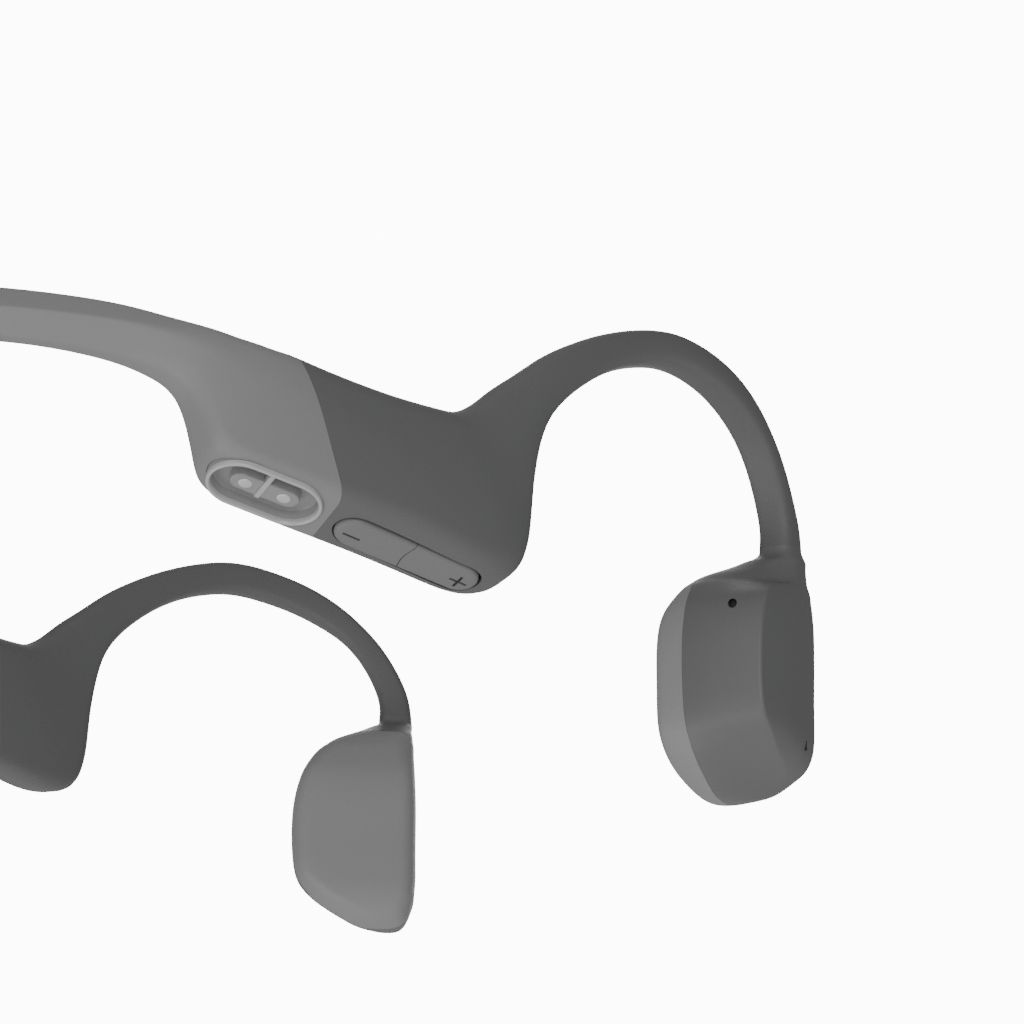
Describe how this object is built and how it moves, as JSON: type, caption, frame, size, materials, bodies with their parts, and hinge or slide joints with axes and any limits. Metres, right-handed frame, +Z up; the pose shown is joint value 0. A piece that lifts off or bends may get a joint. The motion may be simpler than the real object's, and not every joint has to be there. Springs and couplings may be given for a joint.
{
  "type": "bone conduction headphones",
  "caption": "Open-ear bone conduction headphones: flexible U-shaped neckband, side housings, over-ear hooks, cheek transducer pods, volume keys and a magnetic charging port.",
  "frame": {"origin": "centre of the bounding box of the headphones", "axes": "the wearer faces -Y with the right ear at -X and the left ear at +X; +Z is up, along the long side of the pods"},
  "size_m": [0.1058, 0.1196, 0.0458],
  "materials": {
    "light_silicone": "matte, fine grain",
    "dark_silicone": "matte, fine grain",
    "pod_plastic": "satin",
    "pad_silicone": "matte",
    "steel": "satin",
    "titanium_wire": "satin",
    "copper_coil": "enamelled winding",
    "magnet_nickel": "plated",
    "contact_plating": "plated",
    "circuit_board": "solder mask",
    "battery_foil": "foil wrap",
    "cable_insulation": "satin"
  },
  "bodies": {
    "right_side": {"sleeve_right": "light_silicone", "sleeve_nape": "light_silicone", "neckband_wire": "titanium_wire", "neckband_cable": "cable_insulation", "arm_cover_right": "dark_silicone", "hook_wire_right": "titanium_wire", "hook_cable_right": "cable_insulation", "charging_port_frame": "light_silicone", "charging_contact_1": "contact_plating", "charging_contact_2": "contact_plating", "port_magnet_1": "magnet_nickel", "port_magnet_2": "magnet_nickel", "volume_down_switch": "steel", "volume_up_switch": "steel", "main_pcb": "circuit_board", "processor_shield": "steel", "microphone_right": "steel", "pod_shell_right": "pod_plastic", "driver_yoke_right": "steel", "driver_magnet_right": "magnet_nickel", "driver_top_plate_right": "steel", "spring_plate_right": "steel"},
    "left_side": {"sleeve_left": "light_silicone", "arm_cover_left": "dark_silicone", "hook_wire_left": "titanium_wire", "hook_cable_left": "cable_insulation", "battery": "battery_foil", "battery_protection_board": "circuit_board", "multifunction_switch": "steel", "pod_shell_left": "pod_plastic", "driver_yoke_left": "steel", "driver_magnet_left": "magnet_nickel", "driver_top_plate_left": "steel", "spring_plate_left": "steel"},
    "volume_down_key": {"volume_down_button": "dark_silicone"},
    "volume_up_key": {"volume_up_button": "dark_silicone"},
    "multifunction_key": {"multifunction_button": "pod_plastic"},
    "right_transducer": {"contact_pad_right": "pad_silicone", "voice_coil_right": "copper_coil"},
    "left_transducer": {"contact_pad_left": "pad_silicone", "voice_coil_left": "copper_coil"}
  },
  "joints": [
    {"name": "neckband_flex", "type": "hinge", "parent": "right_side", "child": "left_side", "pos_m": [0, 0.05775, 0.0128], "axis": [0, 0, 1], "range_deg": [-8, 30], "stiffness_Nm_per_rad": 0.33, "deforming": ["sleeve_nape", "neckband_wire", "neckband_cable"]},
    {"name": "volume_down_press", "type": "slide", "parent": "right_side", "child": "volume_down_key", "axis": [0.2302, -0.2452, 0.9417], "range_m": [0, 0.00035], "stiffness_N_per_m": 150},
    {"name": "volume_up_press", "type": "slide", "parent": "right_side", "child": "volume_up_key", "axis": [0.2302, -0.2452, 0.9417], "range_m": [0, 0.00035], "stiffness_N_per_m": 150},
    {"name": "multifunction_press", "type": "slide", "parent": "left_side", "child": "multifunction_key", "axis": [-0.8572, 0.515, 0], "range_m": [0, 0.00035], "stiffness_N_per_m": 150},
    {"name": "right_pad_vibration", "type": "slide", "parent": "right_side", "child": "right_transducer", "axis": [-0.8572, -0.515, 0], "range_m": [-0.00015, 0.00015], "stiffness_N_per_m": 1500, "deforming": ["spring_plate_right"]},
    {"name": "left_pad_vibration", "type": "slide", "parent": "left_side", "child": "left_transducer", "axis": [0.8572, -0.515, 0], "range_m": [-0.00015, 0.00015], "stiffness_N_per_m": 1500, "deforming": ["spring_plate_left"]}
  ]
}
